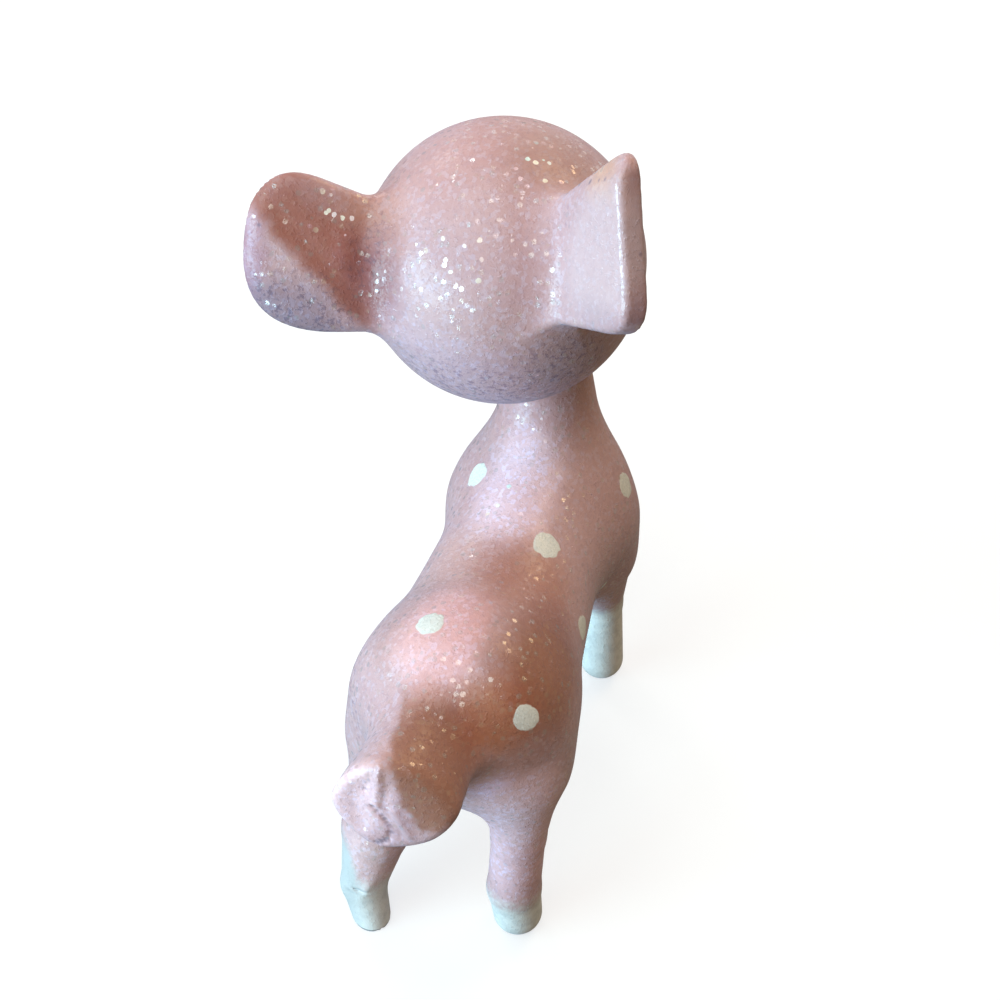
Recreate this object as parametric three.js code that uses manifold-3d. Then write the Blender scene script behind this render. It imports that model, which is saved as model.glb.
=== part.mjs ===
// A standing fawn-like reindeer figurine, cast in resin, painted and glued together from castings.
// Millimetres, +Z up. The animal looks along -Y, so +X is its left side. Its hooves stand on Z = 0.
// Every outside surface comes from one smooth distance field, meshed piece by piece and cut at flat or round
// seats. Steel wires and dowels join the castings across the seats.

import * as THREE from "three";
import { mergeVertices } from "three/addons/utils/BufferGeometryUtils.js";
import Module from "manifold-3d";

const wasm = await Module();
wasm.setup();

// Driving dimensions

const seatGap = 0.3; // glue line between two castings
const pinGap = 0.3; // glue round a wire or dowel in its bore

const standingHeight = 49; // middle of the trunk above the ground
const rumpBack = 33.5; // middle of the rump, behind the shoulders' wires
const chestForward = 19.7; // middle of the chest, in front of them
const rumpSize = new THREE.Vector3(17.4, 11, 17.4);
const chestSize = new THREE.Vector3(16.8, 13, 15.5);
const loinRadius = 16.8;
const waistRadius = 13.2;

const headRadius = 24;
const headAside = 11.7; // middle of the head, towards its left
const headForward = 8; // in front of the middle of the chest
const headRise = 48.5; // above the middle of the chest
const headTilt = 16; // degrees, towards its left shoulder
const headTurn = 3; // degrees, towards its left
const headNod = 5; // degrees, nose up
const neckRootRadius = 10.3;
const neckTopRadius = 7;

const muzzleReach = 24; // from the middle of the head to the middle of the muzzle's tip
const muzzleDrop = 9.5;
const muzzleRootRadius = 10.5;
const muzzleTipRadius = 7.2;
const eyeRadius = 3.2;
const eyeStandOut = 1.2;
const eyeSide = 40; // degrees, from the head's front round to the side
const eyeDrop = 3; // degrees, below the head's middle
const noseWidth = 7;
const noseHeight = 4.6;

const earThickness = 4.2;
const leftEar = {
  length: 19.9, // from the head's surface to the ear's outer edge
  spread: 42, // degrees, from the head's back-and-up line out to the side
  rise: 49.2, // degrees, of that line above the horizontal
  lean: 0.17, // its middle layer, off the head's middle
  rootAbove: 7.4,
  rootBelow: 12.7,
  tipHeight: 14.6,
  tipOut: 0.5,
  lobeDepth: 13.2,
  lobeOut: -0.15,
  lobeRound: 15,
  tipRound: 11,
  edgeRound: 3.5,
  fold: 0.62, // slope of the outer, lower half past its fold
  foldFoot: 11.1,
  foldTip: 15.4,
};
const rightEar = {
  length: 19.2,
  spread: 44.3,
  rise: 47.2,
  lean: -0.05,
  rootAbove: 6.7,
  rootBelow: 10.7,
  tipHeight: 14.3,
  tipOut: 1.2,
  lobeDepth: 14.5,
  lobeOut: -1.1,
  lobeRound: 6.5,
  tipRound: 4.7,
  edgeRound: 2.2,
  fold: 0.2,
  foldFoot: 12.5,
  foldTip: 16.3,
};

const tailBack = 19.1; // from its root inside the rump to the middle of its end
const tailAside = 3.3; // its end, towards the left
const tailLift = 2.9;
const tailRoll = 4; // degrees, its right corner up
const tailRootRadius = 8.6;
const tailLeftWidth = 7.6; // from the middle of its end to the left corner
const tailRightWidth = 13.4;
const tailHalfHeight = 9;
const tailEndRound = 1.7;
const tailRidgeRound = 2.6; // between the two facets of its end

const legSeatDrop = 22; // the seats of the legs, below the middle of the trunk
const hipSpread = 11.4;
const hipRadius = 6.8;
const elbowSpread = 9;
const elbowRadius = 8;
const hindShankRadius = 4.4;
const foreShankRadius = 3.5;
const hoofRadius = 4.3;
const hindHoofSpread = 12.6;
const foreHoofSpread = 13;
const kickBack = 2.7; // the left hind hoof, behind its fetlock
const soleRubbed = 0.25; // taken off each hoof to level its sole

const legWireInLeg = 10;
const legWireInTrunk = 9;
const neckDowelLength = 20;
const earDowelLength = 10;
const tailDowelLength = 14;

// Cell sizes of the meshed skins

const trunkCell = 3.2;
const headCell = 3;
const earCell = 1.6;
const tailCell = 2.4;
const legCell = 2;

// Distance functions: each returns f(x, y, z), negative inside

const point = (x, y, z) => new THREE.Vector3(x, y, z);

const smoothMin = (a, b, blend) => {
  const h = Math.max(blend - Math.abs(a - b), 0) / blend;
  return Math.min(a, b) - (h * h * blend) / 4;
};
const smoothMax = (a, b, blend) => -smoothMin(-a, -b, blend);

function ellipsoid(centre, size) {
  return (x, y, z) => {
    const [qx, qy, qz] = [(x - centre.x) / size.x, (y - centre.y) / size.y, (z - centre.z) / size.z];
    const near = Math.hypot(qx, qy, qz);
    const slope = Math.hypot(qx / size.x, qy / size.y, qz / size.z);
    return slope < 1e-9 ? -Math.min(size.x, size.y, size.z) : (near * (near - 1)) / slope;
  };
}

// A cone between two balls, with round ends.
function roundCone(start, end, startRadius, endRadius) {
  const axis = end.clone().sub(start);
  const length2 = axis.lengthSq();
  const taper = startRadius - endRadius;
  const slant2 = length2 - taper * taper;
  return (x, y, z) => {
    const [px, py, pz] = [x - start.x, y - start.y, z - start.z];
    const along = px * axis.x + py * axis.y + pz * axis.z;
    const past = along - length2;
    const across2 =
      (px * length2 - axis.x * along) ** 2 +
      (py * length2 - axis.y * along) ** 2 +
      (pz * length2 - axis.z * along) ** 2;
    const side = Math.sign(taper) * taper * taper * across2;
    if (Math.sign(past) * slant2 * past * past * length2 > side)
      return Math.sqrt(across2 + past * past * length2) / length2 - endRadius;
    if (Math.sign(along) * slant2 * along * along * length2 < side)
      return Math.sqrt(across2 + along * along * length2) / length2 - startRadius;
    return (Math.sqrt((across2 * slant2) / length2) + along * taper) / length2 - startRadius;
  };
}

// Joins fields one after another with the same blend.
function blended(blend, ...fields) {
  return (x, y, z) => fields.map((f) => f(x, y, z)).reduce((a, b) => smoothMin(a, b, blend));
}

// The corners of a cell are numbered by bits: 1 for x, 2 for y, 4 for z. Edges start at their lower corner.
const cellEdges = [0, 1, 2].flatMap((axis) =>
  [0, 1, 2, 3, 4, 5, 6, 7].filter((c) => !(c & (1 << axis))).map((start) => ({ axis, start, end: start | (1 << axis) })),
);
const cellFaces = [1, 2, 4].flatMap((bit) =>
  [0, bit].map((side) => cellEdges.filter(({ start, end }) => (start & bit) === side && (end & bit) === side)),
);

// Sorts a cell's crossed edges into the separate patches of surface that pass through it.
function patches(inside) {
  const crossed = cellEdges.filter(({ start, end }) => inside[start] !== inside[end]);
  const patchOf = new Map(crossed.map((edge) => [edge, new Set([edge])]));
  const join = (one, other) => {
    for (const edge of patchOf.get(other)) {
      patchOf.get(one).add(edge);
      patchOf.set(edge, patchOf.get(one));
    }
  };
  const innerCorner = ({ start, end }) => (inside[start] ? start : end);
  for (const face of cellFaces) {
    const onFace = face.filter((edge) => patchOf.has(edge));
    if (onFace.length === 2) join(...onFace);
    if (onFace.length < 4) continue;
    for (const edge of onFace)
      for (const other of onFace) if (edge !== other && innerCorner(edge) === innerCorner(other)) join(edge, other);
  }
  return new Set(patchOf.values());
}

// Meshes the field's zero surface from a grid of cells, with one vertex for each patch of surface in a cell.
function skin(field, low, high, cell) {
  const count = high.clone().sub(low).divideScalar(cell).ceil().toArray().map((n) => n + 1);
  const stride = [1, count[0], count[0] * count[1]];
  const value = new Float64Array(stride[2] * count[2]);
  const inGrid = (border, visit) => {
    for (let k = border; k < count[2] - 1; k++)
      for (let j = border; j < count[1] - 1; j++)
        for (let i = border; i < count[0] - 1; i++) visit(i, j, k, i + stride[1] * j + stride[2] * k);
  };
  value.fill(1);
  inGrid(0, (i, j, k, index) => (value[index] = field(low.x + i * cell, low.y + j * cell, low.z + k * cell)));

  const offsets = [0, 1, 2, 3, 4, 5, 6, 7].map((c) => (c & 1) + ((c >> 1) & 1) * stride[1] + (c >> 2) * stride[2]);
  const cornerAt = (c) => point(c & 1, (c >> 1) & 1, c >> 2);
  const edgeKey = (index, { axis, start }) => index * 24 + start * 3 + axis;
  const vertexOf = new Map();
  const positions = [];
  inGrid(0, (i, j, k, index) => {
    const corners = offsets.map((offset) => value[index + offset]);
    const inside = corners.map((v) => v < 0);
    if (inside.every((v) => v === inside[0])) return;
    for (const patch of patches(inside)) {
      const middle = point(0, 0, 0);
      for (const edge of patch) {
        const share = corners[edge.start] / (corners[edge.start] - corners[edge.end]);
        middle.add(cornerAt(edge.start).lerp(cornerAt(edge.end), share));
        vertexOf.set(edgeKey(index, edge), positions.length / 3);
      }
      const start = middle.divideScalar(patch.size).add(point(i, j, k)).multiplyScalar(cell).add(low);
      positions.push(...settle(field, start, cell / 3).toArray());
    }
  });

  const faces = [];
  const neighbours = Array.from({ length: positions.length / 3 }, () => []);
  inGrid(1, (i, j, k, index) => {
    for (const axis of [0, 1, 2]) {
      const here = value[index] < 0;
      if (here === value[index + stride[axis]] < 0) continue;
      const [u, v] = [(axis + 1) % 3, (axis + 2) % 3];
      const ring = [[1, 1], [0, 1], [0, 0], [1, 0]].map(([du, dv]) =>
        vertexOf.get(edgeKey(index - du * stride[u] - dv * stride[v], { axis, start: (du << u) | (dv << v) })),
      );
      const [p, q, r, s] = here ? ring : ring.reverse();
      faces.push(p, q, r, p, r, s);
      ring.forEach((vertex, n) => neighbours[vertex].push(ring[(n + 1) % 4]));
    }
  });
  const even = evened(field, positions, neighbours, cell);
  return new THREE.BufferGeometry().setAttribute("position", new THREE.Float32BufferAttribute(even, 3)).setIndex(faces);
}

// Evens out the mesh: each vertex goes to the middle of its neighbours, and from there back onto the surface.
function evened(field, positions, neighbours, cell) {
  let now = positions;
  for (let turn = 0; turn < 3; turn++) {
    const before = now;
    now = neighbours.flatMap((list) => {
      const middle = point(0, 0, 0);
      for (const n of list) middle.add(point(before[3 * n], before[3 * n + 1], before[3 * n + 2]));
      return settle(field, middle.divideScalar(list.length), cell).toArray();
    });
  }
  return now;
}

// Moves a point onto the zero surface, and never further than the reach given.
function settle(field, start, reach) {
  const step = 0.05;
  const p = start.clone();
  for (let turn = 0; turn < 3; turn++) {
    const here = field(p.x, p.y, p.z);
    const slope = point(
      field(p.x + step, p.y, p.z) - field(p.x - step, p.y, p.z),
      field(p.x, p.y + step, p.z) - field(p.x, p.y - step, p.z),
      field(p.x, p.y, p.z + step) - field(p.x, p.y, p.z - step),
    ).divideScalar(2 * step);
    p.addScaledVector(slope, -here / Math.max(slope.lengthSq(), 0.25));
    p.sub(start).clampLength(0, reach).add(start);
  }
  return p;
}

// Solids: closed meshes that can be cut

function solid(geometry) {
  const bare = geometry.clone().deleteAttribute("normal").deleteAttribute("uv");
  const merged = mergeVertices(bare, 1e-4);
  return new wasm.Manifold(
    new wasm.Mesh({
      numProp: 3,
      vertProperties: new Float32Array(merged.attributes.position.array),
      triVerts: new Uint32Array(merged.index.array),
    }),
  );
}

const solidSkin = (field, low, high, cell) => solid(skin(field, low, high, cell));

// Keeps the side of a flat seat that the normal points to, less half the glue line.
function keepBeyond(shape, seat, normal) {
  return shape.trimByPlane(normal.toArray(), seat.dot(normal) + seatGap / 2);
}

// A round rod through a seat, reaching "back" behind it and "ahead" in front of it.
function rod(seat, direction, radius, back, ahead) {
  const turn = new THREE.Quaternion().setFromUnitVectors(point(0, 1, 0), direction);
  const centre = seat.clone().addScaledVector(direction, (ahead - back) / 2);
  return new THREE.CylinderGeometry(radius, radius, back + ahead, 16)
    .applyQuaternion(turn)
    .translate(...centre.toArray());
}

// A rod across a seat, with the bore that takes it in both castings.
function pinned(seat, direction, radius, back, ahead) {
  return {
    rod: rod(seat, direction, radius, back, ahead),
    bore: solid(rod(seat, direction, radius + pinGap, back + pinGap, ahead + pinGap)),
  };
}

// Trunk and neck

const chestMiddle = point(0, -chestForward, standingHeight - 2.5);
const rumpMiddle = point(0, rumpBack, standingHeight + 1);
const loinMiddle = point(0, rumpBack - 11.5, standingHeight);
const waistMiddle = point(0, 7.7 - chestForward, standingHeight);
const headMiddle = chestMiddle.clone().add(point(headAside, -headForward, headRise));
const neckRoot = chestMiddle.clone().add(point(0.5, -2.8, 10.2));
const neckTop = headMiddle.clone().add(point(-0.35 * headRadius, 0, -0.71 * headRadius));

const headTurned = new THREE.Quaternion().setFromEuler(
  new THREE.Euler(
    THREE.MathUtils.degToRad(-headNod),
    THREE.MathUtils.degToRad(headTilt),
    THREE.MathUtils.degToRad(headTurn),
    "ZXY",
  ),
);

// The neck's seat is a flat on the ball of the head, as wide as the neck's top.
const seatOut = neckRoot.clone().lerp(neckTop, 0.85).sub(headMiddle).normalize();
const neckSeat = headMiddle.clone().addScaledVector(seatOut, Math.sqrt(headRadius ** 2 - neckTopRadius ** 2));
const neckLine = neckTop.clone().sub(neckRoot).normalize();

const trunkField = (() => {
  const middle = roundCone(loinMiddle, waistMiddle, loinRadius, waistRadius);
  const back = blended(13, ellipsoid(rumpMiddle, rumpSize), middle);
  const withChest = blended(12, back, ellipsoid(chestMiddle, chestSize));
  return blended(8, withChest, roundCone(neckRoot, neckTop, neckRootRadius, neckTopRadius));
})();

// Legs: a hip or elbow inside the trunk, a joint lower down, and a hoof standing on the ground

const hipY = rumpBack + 0.5;
const elbowY = -chestForward - 0.3;
const hipZ = standingHeight - 9;
const elbowZ = standingHeight - 13;
const hoofRise = hoofRadius - 0.3; // middle of a hoof above the ground
const legs = [
  {
    name: "hind_right",
    stations: [
      [point(-hipSpread, hipY, hipZ), hipRadius],
      [point(-hindHoofSpread + 0.6, hipY + 2.2, hipZ * 0.62), hindShankRadius + 0.3],
      [point(-hindHoofSpread + 0.4, hipY + 4.1, hipZ * 0.28), hindShankRadius + 0.3],
      [point(-hindHoofSpread - 0.6, hipY + 4.4, hoofRise), hindShankRadius],
    ],
  },
  {
    name: "hind_left",
    stations: [
      [point(hipSpread, hipY, hipZ), hipRadius],
      [point(hindHoofSpread + 0.5, hipY + 4.5, hipZ * 0.48), hindShankRadius + 1.6],
      [point(hindHoofSpread + 1.7, hipY + 8.8, hipZ * 0.18), hindShankRadius - 0.4],
      [point(hindHoofSpread - 0.8, hipY + 8.8 + kickBack, -0.5), hoofRadius - 1],
    ],
  },
  ...[-1, 1].map((side) => ({
    name: side < 0 ? "front_right" : "front_left",
    stations: [
      [point(side * elbowSpread, elbowY, elbowZ), elbowRadius],
      [point(side * (foreHoofSpread - 1), elbowY - 4, elbowZ * 0.53), foreShankRadius],
      [point(side * foreHoofSpread, elbowY - 2, hoofRise), hoofRadius],
    ],
  })),
];
for (const leg of legs) {
  const [, ...below] = leg.stations;
  leg.field = blended(
    1,
    ...below.map(([lower, lowerRadius], index) => {
      const [upper, upperRadius] = leg.stations[index];
      return roundCone(upper, lower, upperRadius, lowerRadius);
    }),
  );
}

// Tail: a stub with a rounded, lopsided diamond section. Two facets end it: a flat one that faces back, and one
// that slants off to the right of it.

const tailRoot = point(2, rumpBack + 7, standingHeight + 5.9);
const tailEnd = tailRoot.clone().add(point(tailAside, tailBack, tailLift));
const tailLength = tailEnd.distanceTo(tailRoot);
const tailLine = tailEnd.clone().sub(tailRoot).normalize();
const tailSide = tailLine
  .clone()
  .cross(point(0, 0, 1))
  .normalize()
  .applyAxisAngle(tailLine, THREE.MathUtils.degToRad(tailRoll));
const tailUp = tailSide.clone().cross(tailLine);
const tailFace = point(-0.02, 1, 0.16).normalize();
const tailSlant = point(-0.457, 0.699, 0.551).normalize();
const tailRidge = tailEnd.clone().add(point(0.7, -1.5, tailHalfHeight + 0.5));
const tailSeat = tailRoot.clone().addScaledVector(tailLine, tailLength * 0.31);

function tailField(x, y, z) {
  const reach = point(x, y, z).sub(tailRoot);
  const [along, across, above] = [reach.dot(tailLine), reach.dot(tailSide), reach.dot(tailUp)];
  const share = THREE.MathUtils.clamp(along / tailLength, 0, 1.2);
  const width = THREE.MathUtils.lerp(tailRootRadius, across > 0 ? tailLeftWidth : tailRightWidth, share);
  const height = THREE.MathUtils.lerp(tailRootRadius, tailHalfHeight, share);
  const power = 1.5;
  const outline = (Math.hypot(across, 0.8) / width) ** power + (Math.hypot(above, 0.8) / height) ** power;
  const section = (outline ** (1 / power) - 1) * 0.45 * (width + height);
  const pastFace = tailFace.dot(point(x, y, z).sub(tailEnd));
  const pastSlant = tailSlant.dot(point(x, y, z).sub(tailRidge));
  const pastEnd = smoothMax(pastFace, pastSlant, tailRidgeRound);
  return smoothMax(smoothMax(section, pastEnd, tailEndRound), -along, 3);
}

// Head and ears, in the head's own frame

const origin = point(0, 0, 0);
const headField = blended(
  8,
  ellipsoid(origin, point(headRadius, headRadius, headRadius)),
  roundCone(
    point(0, -muzzleReach * 0.55, -muzzleDrop * 0.8),
    point(0, -muzzleReach, -muzzleDrop),
    muzzleRootRadius,
    muzzleTipRadius,
  ),
);

// The ear has a frame of its own at the head's middle: out along the ear, up its height, over its thickness.
function earFrame(side, ear) {
  const spread = THREE.MathUtils.degToRad(ear.spread);
  const rise = THREE.MathUtils.degToRad(ear.rise);
  const behind = point(0, Math.cos(rise), Math.sin(rise));
  const out = point(side * Math.sin(spread), 0, 0).addScaledVector(behind, Math.cos(spread));
  const up = point(0, -Math.sin(rise), Math.cos(rise));
  return { out, up, over: out.clone().cross(up) };
}

// The distance of (a, b) to the right of the line from start to end.
function rightOf(a, b, start, end) {
  const [along, up] = [end[0] - start[0], end[1] - start[1]];
  return ((a - start[0]) * up - (b - start[1]) * along) / Math.hypot(along, up);
}

const earRootDepth = 5; // inside the head
function earField(side, ear) {
  const length = ear.length + earRootDepth;
  const tip = [length + ear.tipOut, ear.tipHeight];
  const lobe = [length + ear.lobeOut, -ear.lobeDepth];
  return (out, up, over) => {
    const a = out - headRadius + earRootDepth;
    const lower = rightOf(a, up, [0, -ear.rootBelow], lobe);
    const outer = rightOf(a, up, lobe, tip);
    const upper = rightOf(a, up, tip, [0, ear.rootAbove]);
    const rim = smoothMax(smoothMax(lower, outer, ear.lobeRound), upper, ear.tipRound);
    const pastFold = rightOf(a, up, [2, -ear.foldFoot], [length, ear.foldTip]);
    const bend = (ear.fold * (Math.hypot(pastFold, 2.5) + pastFold)) / 2;
    const plate = Math.abs(side * over + ear.lean - bend) - earThickness / 2;
    return 0.7 * smoothMax(smoothMax(rim, -a - 3, 2), plate, ear.edgeRound);
  };
}

const inHead = (geometry) => geometry.applyQuaternion(headTurned).translate(...headMiddle.toArray());

// The whole body in one skin: the trunk takes in the legs and the tail, and stands flat.
const bodyField = (() => {
  const withLegs = blended(7, trunkField, ...legs.map((leg) => leg.field));
  const withTail = blended(6, withLegs, tailField);
  return (x, y, z) => smoothMax(withTail(x, y, z), -z, 1);
})();

// Castings

const room = 5; // round a piece, for its grid of cells
const legSeat = point(0, 0, standingHeight - legSeatDrop);
const upward = point(0, 0, 1);
const thinShank = Math.min(hindShankRadius, foreShankRadius);
for (const leg of legs) {
  const [[top], [bend]] = leg.stations;
  const [hoof] = leg.stations.at(-1);
  const seat = top.clone().lerp(bend, (top.z - legSeat.z) / (top.z - bend.z));
  leg.pin = pinned(seat, top.clone().sub(bend).normalize(), thinShank * 0.22, legWireInLeg, legWireInTrunk);
  leg.middle = seat.clone().add(hoof).divideScalar(2);
}
const neckPin = pinned(neckSeat, neckLine, neckTopRadius * 0.28, neckDowelLength / 2, neckDowelLength / 2);
const tailPin = pinned(tailSeat, tailLine, tailRootRadius * 0.13, tailDowelLength / 2, tailDowelLength / 2);

function trunkCasting() {
  const side = Math.max(rumpSize.x, chestSize.x, loinRadius, hipSpread + hipRadius) + room;
  const low = point(-side, -chestForward - chestSize.y - 2 * room, legSeat.z - 2 * room);
  const high = point(side, tailSeat.y + 2 * room, neckTop.z + neckTopRadius + room);
  const closed = (x, y, z) => Math.max(bodyField(x, y, z), legSeat.z - 3 - z, y - tailSeat.y - 4);
  const whole = solidSkin(closed, low, high, trunkCell);
  const cut = [
    [legSeat, upward],
    [tailSeat, tailLine.clone().negate()],
    [neckSeat, seatOut],
  ].reduce((shape, [seat, normal]) => keepBeyond(shape, seat, normal), whole);
  return [neckPin, tailPin, ...legs.map((leg) => leg.pin)].reduce((shape, pin) => shape.subtract(pin.bore), cut);
}

function legCasting(leg) {
  const closed = (x, y, z) => Math.max(bodyField(x, y, z), z - legSeat.z - 3, -x * Math.sign(leg.middle.x));
  const half = point(Math.abs(leg.middle.x), hipRadius + elbowRadius + room, legSeat.z / 2 + room);
  const low = leg.middle.clone().sub(half).addScalar(-room);
  const high = leg.middle.clone().add(half).addScalar(room);
  const shape = keepBeyond(solidSkin(closed, low, high, legCell), legSeat, upward.clone().negate());
  return shape.subtract(leg.pin.bore).trimByPlane(upward.toArray(), soleRubbed);
}

function tailCasting() {
  const closed = (x, y, z) => Math.max(bodyField(x, y, z), tailSeat.y - 2 - y);
  const half = point(tailRightWidth, tailLength / 2, tailHalfHeight).addScalar(2.2 * room);
  const shape = solidSkin(closed, tailEnd.clone().sub(half), tailEnd.clone().add(half), tailCell);
  return keepBeyond(shape, tailSeat, tailLine).subtract(tailPin.bore);
}

// The distance from the head's middle to its skin along a direction.
function skinAlong(direction) {
  let [inside, outside] = [0, 3 * headRadius];
  for (let turn = 0; turn < 40; turn++) {
    const tried = (inside + outside) / 2;
    if (headField(...direction.clone().multiplyScalar(tried).toArray()) < 0) inside = tried;
    else outside = tried;
  }
  return inside;
}

const eyeSize = point(eyeRadius, eyeRadius, eyeRadius);
const eyeMiddles = [1, -1].map((side) => {
  const toSide = THREE.MathUtils.degToRad(eyeSide);
  const down = THREE.MathUtils.degToRad(eyeDrop);
  const line = point(side * Math.sin(toSide) * Math.cos(down), -Math.cos(toSide) * Math.cos(down), -Math.sin(down));
  return line.clone().multiplyScalar(skinAlong(line) + eyeStandOut - eyeRadius);
});
const noseSize = point(noseWidth / 2, noseHeight / 2, noseHeight / 2);
const noseLine = point(0, -muzzleReach - muzzleTipRadius, -muzzleDrop + 3).normalize();
const noseMiddle = noseLine.clone().multiplyScalar(skinAlong(noseLine) - noseHeight * 0.15);
const bead = (middle, size, grow = 0) =>
  new THREE.SphereGeometry(1, 20, 12).scale(...size.clone().addScalar(grow).toArray()).translate(...middle.toArray());

const ears = [
  { name: "left", side: 1, form: leftEar },
  { name: "right", side: -1, form: rightEar },
];
const earPins = ears.map(({ side, form }) => {
  const { out } = earFrame(side, form);
  const seat = out.clone().multiplyScalar(headRadius);
  return pinned(seat, out, earThickness * 0.16, earDowelLength / 2, earDowelLength / 2);
});

function headCasting() {
  const low = point(-headRadius, -muzzleReach - muzzleTipRadius - 3, -headRadius - 3).addScalar(-room);
  const high = point(headRadius, headRadius, headRadius).addScalar(room);
  const whole = solidSkin(headField, low, high, headCell);
  const sockets = [
    ...eyeMiddles.map((middle) => solid(bead(middle, eyeSize, seatGap))),
    solid(bead(noseMiddle, noseSize, seatGap)),
    ...earPins.map((pin) => pin.bore),
  ];
  const faced = sockets.reduce((shape, socket) => shape.subtract(socket), whole);
  const placed = solid(inHead(geometryOf(faced)));
  return keepBeyond(placed, neckSeat, seatOut.clone().negate()).subtract(neckPin.bore);
}

// The ear spreads a little over the ball of the head it is glued to.
function earCasting(side, form) {
  const ear = earField(side, form);
  const toBall = (x, y, z) => Math.hypot(x, y, z) - headRadius;
  const spread = (x, y, z) => smoothMin(ear(x, y, z), toBall(x, y, z), 4);
  const closed = (x, y, z) => Math.max(spread(x, y, z), -5 - toBall(x, y, z), ear(x, y, z) - 1.2);
  const half = point(0, Math.max(form.tipHeight, form.lobeDepth), form.length * 0.8).addScalar(room);
  const low = point(headRadius - 2 * room, 0, 0).sub(half);
  const high = point(headRadius + form.length, 0, 0).add(half);
  const { out, up, over } = earFrame(side, form);
  const placed = skin(closed, low, high, earCell).applyMatrix4(new THREE.Matrix4().makeBasis(out, up, over));
  const seat = new THREE.SphereGeometry(headRadius + seatGap, 64, 48);
  return solid(placed).subtract(solid(seat));
}

function geometryOf(shape) {
  const mesh = shape.getMesh();
  return new THREE.BufferGeometry()
    .setAttribute("position", new THREE.BufferAttribute(new Float32Array(mesh.vertProperties), 3))
    .setIndex(new THREE.BufferAttribute(new Uint32Array(mesh.triVerts), 1));
}

// Materials and assembly

const pinkPaint = new THREE.MeshStandardMaterial({ color: 0xd9a5a6, roughness: 0.3, metalness: 0 });
const eyeBlack = new THREE.MeshStandardMaterial({ color: 0x14100f, roughness: 0.08, metalness: 0 });
const steel = new THREE.MeshStandardMaterial({ color: 0x9a9c9e, roughness: 0.4, metalness: 1 });

const figurine = new THREE.Group();
function add(name, geometry, material) {
  const flat = geometry.index ? geometry.toNonIndexed() : geometry;
  flat.computeVertexNormals();
  const mesh = new THREE.Mesh(flat, material.clone());
  mesh.name = name;
  figurine.add(mesh);
}

add("trunk", geometryOf(trunkCasting()), pinkPaint);
add("head", geometryOf(headCasting()), pinkPaint);
add("tail", geometryOf(tailCasting()), pinkPaint);
add("neck_dowel", neckPin.rod, steel);
add("tail_dowel", tailPin.rod, steel);
for (const leg of legs) {
  add(`${leg.name}_leg`, geometryOf(legCasting(leg)), pinkPaint);
  add(`${leg.name}_wire`, leg.pin.rod, steel);
}
for (const [index, { name, side, form }] of ears.entries()) {
  add(`${name}_ear`, inHead(geometryOf(earCasting(side, form).subtract(earPins[index].bore))), pinkPaint);
  add(`${name}_ear_dowel`, inHead(earPins[index].rod), steel);
  add(`${name}_eye`, inHead(bead(eyeMiddles[index], eyeSize)), eyeBlack);
}
add("nose", inHead(bead(noseMiddle, noseSize)), eyeBlack);

// The origin is under the middle of the whole figurine, on the ground.
const box = new THREE.Box3().setFromObject(figurine);
const boxMiddle = box.getCenter(point(0, 0, 0));
figurine.position.set(-boxMiddle.x, -boxMiddle.y, -box.min.z);

export default figurine;
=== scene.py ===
import functools
import bpy
import numpy as np
from mathutils import Matrix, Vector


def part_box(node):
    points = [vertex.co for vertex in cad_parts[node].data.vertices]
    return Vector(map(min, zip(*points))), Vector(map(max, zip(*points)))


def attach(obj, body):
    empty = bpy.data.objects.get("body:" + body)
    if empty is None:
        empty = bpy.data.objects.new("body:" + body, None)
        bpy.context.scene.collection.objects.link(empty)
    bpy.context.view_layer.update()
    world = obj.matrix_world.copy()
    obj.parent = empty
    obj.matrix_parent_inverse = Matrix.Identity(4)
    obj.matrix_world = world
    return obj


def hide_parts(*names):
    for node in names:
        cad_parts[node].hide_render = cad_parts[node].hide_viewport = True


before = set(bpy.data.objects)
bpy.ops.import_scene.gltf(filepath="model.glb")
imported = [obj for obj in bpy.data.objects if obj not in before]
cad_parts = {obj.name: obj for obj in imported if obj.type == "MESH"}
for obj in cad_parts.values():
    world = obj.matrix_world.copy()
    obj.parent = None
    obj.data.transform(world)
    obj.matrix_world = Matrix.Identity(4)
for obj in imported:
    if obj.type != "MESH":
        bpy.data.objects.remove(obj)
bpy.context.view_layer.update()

# Forms are worked out in millimetres with x = 0 in the trunk's middle plane, as in the part's source, and
# "to_frame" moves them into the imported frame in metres. +x is the animal's left, -y its front.

SPINE_HEIGHT = 49.0
LEG_SEAT = SPINE_HEIGHT - 22
CHEST = np.array([0, -19.7, SPINE_HEIGHT - 2.5])
CHEST_SIZE = np.array([16.8, 13, 15.5])
RUMP = np.array([0, 33.5, SPINE_HEIGHT + 1])
RUMP_SIZE = np.array([17.4, 11, 17.4])
LOIN_RADIUS, WAIST_RADIUS = 16.8, 13.2

HEAD_RADIUS = 24.0
HEAD = CHEST + [11.7, -8, 48.5]
NECK_ROOT = CHEST + [0.5, -2.8, 10.2]
NECK_TOP = HEAD + np.array([-0.35, 0, -0.71]) * HEAD_RADIUS
NECK_ROOT_RADIUS, NECK_TOP_RADIUS = 10.3, 7
MUZZLE_ROOT = np.array([0, -13.2, -7.6])
MUZZLE_TIP = np.array([0, -24, -9.5])
MUZZLE_ROOT_RADIUS, MUZZLE_TIP_RADIUS = 10.5, 7.2
EYE_RADIUS = 3.2
EYE_OUT = 1.2
NOSE_SIZE = np.array([3.5, 2.3, 2.3])
EAR_THICK = 4.2

HEAD_ABOVE = 62.0  # no part of the head is lower than this
SKIN_CELL = 0.6
BEAD_CELL = 0.25


def unit(v):
    return np.asarray(v, float) / np.linalg.norm(v)


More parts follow.
